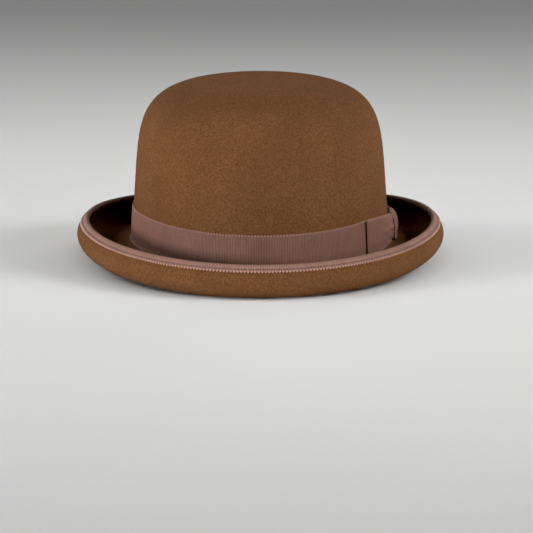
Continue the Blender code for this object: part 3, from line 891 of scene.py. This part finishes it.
class Look:
    """A procedural material. Its methods add nodes and return their outputs."""

    def __init__(self, name, **inputs):
        self.material = bpy.data.materials.new(name)
        self.material.use_nodes = True
        self.tree = self.material.node_tree
        self.shader = self.tree.nodes["Principled BSDF"]
        self.place = self.node("ShaderNodeTexCoord").node.outputs["Object"]
        self.set(**inputs)

    def set(self, **inputs):
        for name, value in inputs.items():
            self.plug(self.shader.inputs[name.replace("_", " ")], value)

    def plug(self, socket, value):
        if isinstance(value, bpy.types.NodeSocket):
            self.tree.links.new(value, socket)
        else:
            socket.default_value = value

    def node(self, kind, *inputs, **settings):
        made = self.tree.nodes.new(kind)
        for name, value in settings.items():
            setattr(made, name, value)
        for socket, value in zip(made.inputs, inputs):
            self.plug(socket, value)
        return made.outputs[0]

    def math(self, operation, *inputs):
        return self.node("ShaderNodeMath", *inputs, operation=operation)

    def noise(self, size_mm, detail=3.0, roughness=0.55, where=None, stretch=(1, 1, 1)):
        """Noise from 0 to 1, with features of about this size."""
        where = where or self.place
        scale = tuple(1 / (size_mm * MM * s) for s in stretch)
        spot = self.node("ShaderNodeVectorMath", where, scale, operation="MULTIPLY")
        made = self.tree.nodes.new("ShaderNodeTexNoise")
        self.plug(made.inputs["Vector"], spot)
        made.inputs["Scale"].default_value = 1.0
        made.inputs["Detail"].default_value = detail
        made.inputs["Roughness"].default_value = roughness
        return made.outputs[0]

    def stretch(self, value, low, high, to_low=0.0, to_high=1.0):
        return self.node("ShaderNodeMapRange", value, low, high, to_low, to_high)

    def mix(self, share, first, second):
        made = self.tree.nodes.new("ShaderNodeMix")
        made.data_type = "RGBA"
        self.plug(made.inputs[0], share)
        self.plug(made.inputs[6], first)
        self.plug(made.inputs[7], second)
        return made.outputs[2]

    def mark(self, name):
        made = self.tree.nodes.new("ShaderNodeAttribute")
        made.attribute_name = name
        return made.outputs["Fac"]

    def bump(self, *heights_mm):
        """Stacks bumps: each is (height from 0 to 1, how many mm high that is)."""
        normal = None
        for height, distance in heights_mm:
            made = self.tree.nodes.new("ShaderNodeBump")
            made.inputs["Distance"].default_value = distance * MM
            self.plug(made.inputs["Height"], height)
            if normal is not None:
                self.plug(made.inputs["Normal"], normal)
            normal = made.outputs[0]
        self.set(Normal=normal)


def felt_look():
    """Brushed fur felt: a short nap that lies in patches, lighter at grazing angles."""
    look = Look("fur_felt", Roughness=0.92, Sheen_Weight=0.12, Sheen_Roughness=0.5, Specular_IOR_Level=0.1)
    clump = look.noise(1.2, 4.0, 0.75)
    fibre = look.noise(0.5, 3.0, 0.7)
    patch = look.noise(30, 2.0, 0.5)
    colour = look.mix(look.stretch(clump, 0.34, 0.66), linear((88, 57, 33)), linear((152, 104, 67)))
    colour = look.mix(look.stretch(fibre, 0.35, 0.7, 0.0, 0.35), colour, linear((150, 104, 67)))
    colour = look.mix(look.stretch(patch, 0.35, 0.65, 0.0, 0.30), colour, linear((104, 68, 40)))
    look.set(Base_Color=colour, Sheen_Tint=linear((170, 120, 80)))
    look.set(Roughness=look.stretch(clump, 0.3, 0.7, 0.98, 0.86))
    look.bump((clump, 0.3), (fibre, 0.1))
    return look.material


def ribbon_look(name, dark, mid, light):
    """Grosgrain: weft threads over thick ribs, with painted shade darkening the grooves between the ribs,
    painted highlights on the picot loops at its edges, and a soft sheen on the rib tops.
    """
    look = Look(name, Roughness=0.6, Sheen_Weight=0.15, Sheen_Roughness=0.4, Specular_IOR_Level=0.35)
    along, across, loop = (look.mark(mark) for mark in ("along", "across", "loop"))
    wave = look.math("MULTIPLY", along, math.pi / RIB_PITCH)
    top = look.math("ABSOLUTE", look.math("SINE", wave))
    thread = look.math("MULTIPLY", across, 2 * math.pi / 0.24)
    weft = look.stretch(look.math("SINE", thread), -1, 1)
    in_metres = (look.math("MULTIPLY", distance, MM) for distance in (along, across))
    flat = look.node("ShaderNodeCombineXYZ", *in_metres)
    rib_shade = look.noise(1.1, 2.0, 0.5, where=flat, stretch=(1, 14, 1))
    speck = look.noise(0.8, 2.0, 0.7, where=flat)
    cloud = look.noise(16, 2.0, 0.5)
    # Painted shade: the grooves between the ribs take the dark colour, and the rib tops the mid one.
    colour = look.mix(look.stretch(top, 0.15, 0.8), linear(dark), linear(mid))
    colour = look.mix(look.stretch(rib_shade, 0.35, 0.7, 0.0, 0.25), colour, linear(light))
    colour = look.mix(look.stretch(speck, 0.4, 0.7, 0.0, 0.45), colour, linear(light))
    colour = look.mix(look.stretch(cloud, 0.4, 0.7, 0.0, 0.18), colour, linear(dark))
    # Painted highlight: the picot loops along the ribbon's edges are made lighter than its lightest colour.
    tip = linear([1.15 * c for c in light])
    colour = look.mix(look.stretch(loop, 0.1, 0.8, 0.0, 0.8), colour, tip)
    look.set(Base_Color=colour, Sheen_Tint=linear(light))
    look.set(Roughness=look.stretch(top, 0.0, 1.0, 0.8, 0.55))
    look.bump((weft, 0.03), (speck, 0.05))
    return look.material


def thread_look(name, dark, light):
    look = Look(name, Roughness=0.6, Sheen_Weight=0.2)
    fuzz = look.noise(0.3, 3.0)
    look.set(Base_Color=look.mix(look.stretch(fuzz, 0.3, 0.7), linear(dark), linear(light)))
    look.bump((fuzz, 0.03))
    return look.material


def leather_look():
    """Tan sheepskin: fine pebbled grain, softly mottled, a little darker in random patches."""
    look = Look("sweatband_leather", Specular_IOR_Level=0.45)
    cells = look.tree.nodes.new("ShaderNodeTexVoronoi")
    cells.feature = "DISTANCE_TO_EDGE"
    cells.inputs["Scale"].default_value = 1 / (0.8 * MM)
    look.plug(cells.inputs["Vector"], look.place)
    grain = look.stretch(cells.outputs["Distance"], 0.0, 0.25)
    mottle = look.noise(9, 4.0, 0.6)
    pore = look.noise(0.35, 2.0)
    colour = look.mix(look.stretch(mottle, 0.3, 0.7), linear((138, 88, 50)), linear((166, 112, 68)))
    colour = look.mix(look.stretch(grain, 0.0, 1.0, 0.45, 0.0), colour, linear((96, 58, 32)))
    look.set(Base_Color=colour, Roughness=look.stretch(mottle, 0.3, 0.7, 0.58, 0.42))
    look.bump((grain, 0.06), (pore, 0.02))
    return look.material


def cloth_look(name, dark, light, pitch=0.4):
    """Fine close cloth with uneven threads."""
    look = Look(name, Roughness=0.85, Sheen_Weight=0.2)
    weave = look.noise(pitch, 2.0, 0.5)
    shade = look.noise(6, 3.0)
    colour = look.mix(look.stretch(weave, 0.3, 0.7), linear(dark), linear(light))
    colour = look.mix(look.stretch(shade, 0.4, 0.7, 0.0, 0.3), colour, linear(dark))
    look.set(Base_Color=colour)
    look.bump((weave, 0.06))
    return look.material


def satin_look():
    """Satin: long floating threads that shine across their length."""
    look = Look("lining_satin", Specular_IOR_Level=0.6, Anisotropic=0.6, Sheen_Weight=0.1)
    float_thread = look.noise(0.5, 2.0, 0.6, stretch=(1, 1, 18))
    fold = look.noise(14, 3.0)
    colour = look.mix(look.stretch(float_thread, 0.3, 0.7), linear((208, 192, 162)), linear((236, 224, 200)))
    colour = look.mix(look.stretch(fold, 0.4, 0.7, 0.0, 0.25), colour, linear((196, 176, 142)))
    look.set(Base_Color=colour, Roughness=look.stretch(float_thread, 0.3, 0.7, 0.30, 0.42))
    look.bump((float_thread, 0.03), (fold, 0.4))
    return look.material


def plastic_look(name, colour, roughness, alpha=1.0):
    look = Look(name, Alpha=alpha, Specular_IOR_Level=0.5)
    haze = look.noise(7, 3.0)
    look.set(Base_Color=look.mix(haze, linear(colour), linear([0.94 * c for c in colour])))
    look.set(Roughness=look.stretch(haze, 0.3, 0.7, roughness, roughness + 0.08))
    look.bump((haze, 0.1))
    return look.material


# ---------------------------------------------------------------- studio


def turned_piece(name, profile, look):
    """A surface turned round the Z axis from (radius, height) points, in metres."""
    corners = 96
    bm = bmesh.new()
    rows = []
    for radius, height in profile:
        angles = [2 * math.pi * k / corners for k in range(corners)]
        rows.append([bm.verts.new((radius * math.cos(a), radius * math.sin(a), height)) for a in angles])
    for first, second in zip(rows, rows[1:]):
        for k in range(corners):
            after = (k + 1) % corners
            bm.faces.new([first[k], second[k], second[after], first[after]])
    if profile[0][0] < FLOOR_RADIUS:
        bm.faces.new(rows[0])
    made = made_object(name, bm, look)
    return made


def stage():
    """A pale floor, and a backdrop that curves up all round it. Only the floor throws light on the hat."""
    look = Look("studio_floor", Roughness=0.9, Specular_IOR_Level=0.1)
    tone = look.noise(400, 2.0)
    look.set(Base_Color=look.mix(tone, linear((196, 196, 196)), linear((202, 202, 201))))
    floor = turned_piece("studio_floor", [(1.0, 0.0), (FLOOR_RADIUS, 0.0)], look.material)
    curve = [(FLOOR_RADIUS, 0.0), (5.0, 0.0)]
    for k in range(1, 17):
        angle = math.pi / 2 * k / 16
        curve.append((5.0 + 2.0 * math.sin(angle), 2.0 * (1 - math.cos(angle))))
    backdrop = turned_piece("studio_backdrop", [*curve, (7.0, 7.0)], look.material)
    backdrop.visible_diffuse = False
    backdrop.visible_glossy = False
    return floor, backdrop


def softbox(name, azimuth, elevation, distance, size, watts, target, spread=75, bounces=0):
    """A square area light that faces the hat. Azimuth 0 is the camera's side, and 90 is +X."""
    light = bpy.data.lights.new(name, "AREA")
    light.shape = "RECTANGLE"
    light.size, light.size_y = size
    light.energy = watts
    light.spread = math.radians(spread)
    light.cycles.max_bounces = bounces
    lamp = bpy.data.objects.new(name, light)
    a, e = math.radians(azimuth), math.radians(elevation)
    towards = Vector((math.sin(a) * math.cos(e), -math.cos(a) * math.cos(e), math.sin(e)))
    lamp.location = target + towards * distance
    lamp.rotation_euler = towards.to_track_quat("Z", "Y").to_euler()
    bpy.context.scene.collection.objects.link(lamp)
    return lamp


def lights(middle, floor_and_backdrop):
    """Soft boxes in front, at the sides and behind. The one overhead lights only the floor."""
    softbox("front_left", -45, 6, 1.75, (0.7, 0.3), 2.45, middle, bounces=4)
    softbox("side_left", -85, 34, 1.75, (0.7, 0.6), 1.5, middle)
    softbox("front_right", 45, 15, 1.75, (0.7, 0.5), 1.15, middle, bounces=4)
    softbox("side_right", 80, 34, 1.75, (0.7, 0.6), 2.35, middle)
    softbox("back_left", -150, 18, 2.0, (1.0, 0.7), 0.8, middle)
    softbox("back_right", 150, 18, 2.0, (1.0, 0.7), 0.8, middle)
    overhead = softbox("overhead", 0, 89, 4.0, (8.0, 8.0), 150, middle, spread=180, bounces=8)
    lit = bpy.data.collections.new("lit_from_overhead")
    for surface in floor_and_backdrop:
        lit.objects.link(surface)
    overhead.light_linking.receiver_collection = lit
    world = bpy.data.worlds.new("studio")
    world.use_nodes = True
    world.node_tree.nodes["Background"].inputs["Color"].default_value = (1, 1, 1, 1)
    world.node_tree.nodes["Background"].inputs["Strength"].default_value = 0.003
    bpy.context.scene.world = world
    view = bpy.context.scene.view_settings
    view.view_transform = "Standard"
    view.use_curve_mapping = True
    view.curve_mapping.black_level = (0.003, 0.003, 0.003)


def camera():
    """In front of the hat, a little above it. It aims below the hat and slightly to the right of it."""
    distance = 1.8
    elevation, yaw, roll = (math.radians(a) for a in (10.26, 0.64, 0.15))
    aim_right, aim_down = (math.radians(a) for a in (0.132, 0.627))
    made = bpy.data.cameras.new("camera")
    made.sensor_width = 36.0
    made.lens = 180.095
    lens = bpy.data.objects.new("camera", made)
    back = Matrix.Rotation(-yaw, 3, "Z") @ Vector((0, -math.cos(elevation), math.sin(elevation)))
    level = back.to_track_quat("Z", "Y").to_matrix()
    aim = Matrix.Rotation(-aim_down, 3, "X") @ Matrix.Rotation(-aim_right, 3, "Y")
    lens.location = Vector((0, 0, BREAK_UP * MM)) + back * distance
    lens.rotation_euler = (level @ Matrix.Rotation(-roll, 3, "Z") @ aim).to_euler()
    bpy.context.scene.collection.objects.link(lens)
    bpy.context.scene.camera = lens


def build():
    # Partly painted shade: the ribbon thread is a dark brown of its own, painted darker still so that the
    # stitch line sunk in the binding's groove reads as shaded.
    ribbon_thread = thread_look("ribbon_thread", (84, 59, 52), (122, 90, 80))
    pale_thread = thread_look("pale_thread", (190, 174, 148), (222, 208, 184))
    grosgrain = ribbon_look("grosgrain", (88, 59, 50), (152, 108, 94), (182, 136, 120))
    # Painted light: the binding's ribbon is the band's grosgrain painted about a sixth lighter, for the
    # stronger light on its forward and upward facing edge.
    binding_grosgrain_painted_lighter = ribbon_look("binding_grosgrain_painted_lighter", (102, 70, 60), (178, 132, 116), (216, 170, 151))
    reed_cloth = cloth_look("reed_cloth", (48, 35, 28), (84, 64, 50))
    felt_body(felt_look())
    brim_binding(binding_grosgrain_painted_lighter, ribbon_thread)
    hat_band(grosgrain, ribbon_thread)
    side_bow(grosgrain)
    sweatband(leather_look(), reed_cloth, pale_thread)
    reed(plastic_look("reed_plastic", (225, 222, 210), 0.35), reed_cloth, pale_thread)
    rear_bow(ribbon_look("rear_bow_ribbon", (44, 32, 26), (70, 52, 42), (92, 70, 58)))
    lining(satin_look(), pale_thread, plastic_look("shield_film", (236, 238, 236), 0.12, alpha=0.3))
    size_ticket(cloth_look("ticket_paper", (218, 211, 192), (240, 234, 218), pitch=0.25))


build()
floor_and_backdrop = stage()
middle = (cad_box[0] + cad_box[1]) / 2
lights(middle, floor_and_backdrop)
camera()
